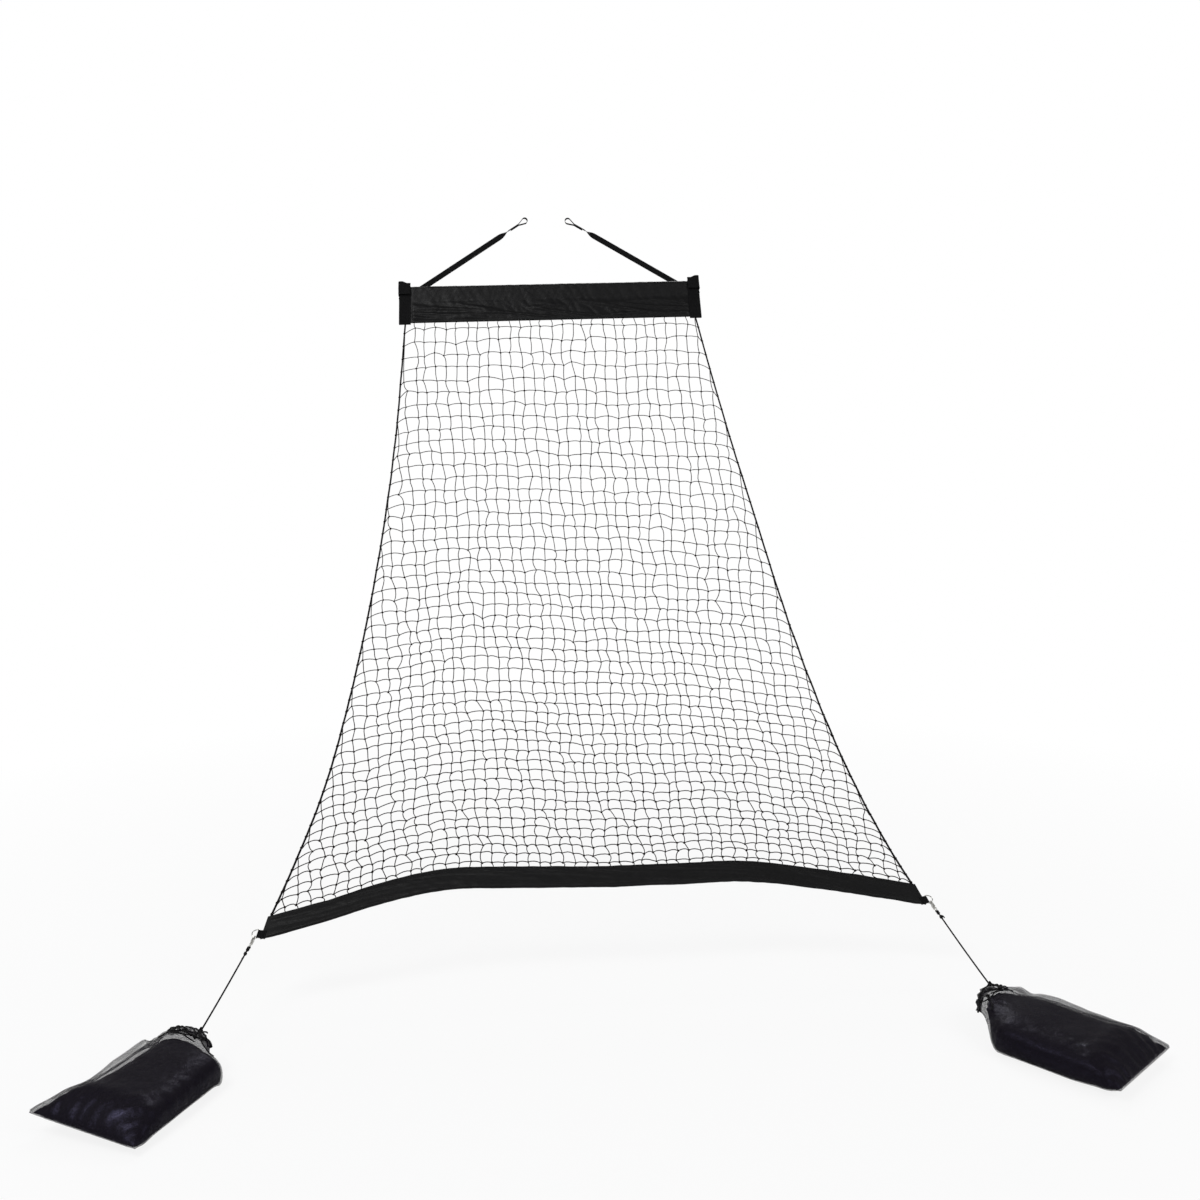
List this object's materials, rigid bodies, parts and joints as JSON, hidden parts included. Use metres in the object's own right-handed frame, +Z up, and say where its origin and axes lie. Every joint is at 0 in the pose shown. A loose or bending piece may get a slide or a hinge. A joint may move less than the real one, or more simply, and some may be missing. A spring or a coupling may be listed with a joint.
{
  "type": "basketball return net",
  "caption": "Sloping rebound net on a barred top sleeve that straps to a basketball rim, its lower edge held out by cords to sand bags so that a made shot rolls back to the shooter.",
  "frame": {"origin": "on the rim rod's axis at its back, midway between the two strap loops that hang from it", "axes": "+Z up, +Y towards the backboard, -Y towards the shooter, +X to the right for someone who faces the board; the ground is at z = -2.72 m"},
  "size_m": [3.0657, 2.4331, 2.7335],
  "materials": {
    "sleeve_cloth": "black woven polyester, slightly shiny, wrinkled",
    "webbing": "black polypropylene webbing, ribbed",
    "net_twine": "black knotted nylon twine",
    "rope": "black braided nylon cord",
    "plated_steel": "nickel-plated steel, bright",
    "spring_steel": "bright spring steel",
    "bar_aluminium": "drawn tube, satin",
    "cap_plastic": "black moulded plastic",
    "mesh_cloth": "fine black knitted mesh",
    "pouch_vinyl": "black coated cloth, glossy",
    "sand": "dry sand"
  },
  "bodies": {
    "root": {"bar_ferrule": "bar_aluminium", "top_sleeve": "sleeve_cloth", "net_panel": "net_twine", "hem_band": "sleeve_cloth", "hem_cord": "rope", "top_bar_left": "bar_aluminium", "bar_cap_left": "cap_plastic", "sleeve_end_panel_left": "webbing", "closing_patch_left": "webbing", "hanging_strap_left": "webbing", "strap_loop_patch_left": "webbing", "strap_hook_patch_left": "webbing", "side_rope_left": "rope", "hem_tab_left": "webbing", "top_bar_right": "bar_aluminium", "bar_cap_right": "cap_plastic", "sleeve_end_panel_right": "webbing", "closing_patch_right": "webbing", "hanging_strap_right": "webbing", "strap_loop_patch_right": "webbing", "strap_hook_patch_right": "webbing", "side_rope_right": "rope", "hem_tab_right": "webbing"},
    "closer_left": {"closing_strap_left": "webbing"},
    "ring_left": {"d_ring_left": "plated_steel"},
    "line_left": {"hook_body_left": "plated_steel", "hook_spring_left": "spring_steel", "tension_cord_left": "rope", "bag_knot_left": "rope"},
    "bolt_left": {"hook_bolt_left": "plated_steel"},
    "swivel_left": {"swivel_eye_left": "plated_steel", "hook_knot_left": "rope"},
    "bag_left": {"mesh_sack_left": "mesh_cloth", "sand_pouch_left": "pouch_vinyl", "sand_fill_left": "sand", "drawcord_left": "rope"},
    "closer_right": {"closing_strap_right": "webbing"},
    "ring_right": {"d_ring_right": "plated_steel"},
    "line_right": {"hook_body_right": "plated_steel", "hook_spring_right": "spring_steel", "tension_cord_right": "rope", "bag_knot_right": "rope"},
    "bolt_right": {"hook_bolt_right": "plated_steel"},
    "swivel_right": {"swivel_eye_right": "plated_steel", "hook_knot_right": "rope"},
    "bag_right": {"mesh_sack_right": "mesh_cloth", "sand_pouch_right": "pouch_vinyl", "sand_fill_right": "sand", "drawcord_right": "rope"}
  },
  "joints": [
    {"name": "closer_flap_left", "type": "hinge", "parent": "root", "child": "closer_left", "pos_m": [-0.63746, -0.06548, -0.3219], "axis": [0.0217, -0.4067, -0.9133], "range_deg": [0, 150]},
    {"name": "ring_tilt_left", "type": "hinge", "parent": "root", "child": "ring_left", "pos_m": [-0.95502, -1.60808, -2.49383], "axis": [0.1528, 0.802, 0.5774], "range_deg": [-4, 4]},
    {"name": "line_swing_left", "type": "hinge", "parent": "root", "child": "line_left", "pos_m": [-0.96383, -1.61828, -2.50094], "axis": [0, 0, 1], "range_deg": [-15, 15]},
    {"name": "bolt_slide_left", "type": "slide", "parent": "line_left", "child": "bolt_left", "axis": [-0.203, -0.9278, -0.3132], "range_m": [0, 0.0045], "stiffness_N_per_m": 700, "springref_m": -0.003, "deforming": ["hook_spring_left"]},
    {"name": "swivel_turn_left", "type": "hinge", "parent": "line_left", "child": "swivel_left", "pos_m": [-0.97124, -1.65214, -2.51237], "axis": [0.203, 0.9278, 0.3132], "continuous": true},
    {"name": "bag_turn_left", "type": "hinge", "parent": "line_left", "child": "bag_left", "pos_m": [-1.041, -1.971, -2.62], "axis": [0, 0, 1], "range_deg": [-25, 25]},
    {"name": "closer_flap_right", "type": "hinge", "parent": "root", "child": "closer_right", "pos_m": [0.66277, -0.06548, -0.29103], "axis": [-0.0217, 0.4067, 0.9133], "range_deg": [0, 150]},
    {"name": "ring_tilt_right", "type": "hinge", "parent": "root", "child": "ring_right", "pos_m": [1.20254, -1.50426, -2.49383], "axis": [-0.2291, 0.7837, 0.5774], "range_deg": [-4, 4]},
    {"name": "line_swing_right", "type": "hinge", "parent": "root", "child": "line_right", "pos_m": [1.21229, -1.51357, -2.50094], "axis": [0, 0, 1], "range_deg": [-12, 15]},
    {"name": "bolt_slide_right", "type": "slide", "parent": "line_right", "child": "bolt_right", "axis": [0.1573, -0.9364, -0.3137], "range_m": [0, 0.0045], "stiffness_N_per_m": 700, "springref_m": -0.003, "deforming": ["hook_spring_right"]},
    {"name": "swivel_turn_right", "type": "hinge", "parent": "line_right", "child": "swivel_right", "pos_m": [1.21803, -1.54775, -2.51239], "axis": [-0.1573, 0.9364, 0.3137], "continuous": true},
    {"name": "bag_turn_right", "type": "hinge", "parent": "line_right", "child": "bag_right", "pos_m": [1.272, -1.869, -2.62], "axis": [0, 0, 1], "range_deg": [-25, 25]}
  ]
}
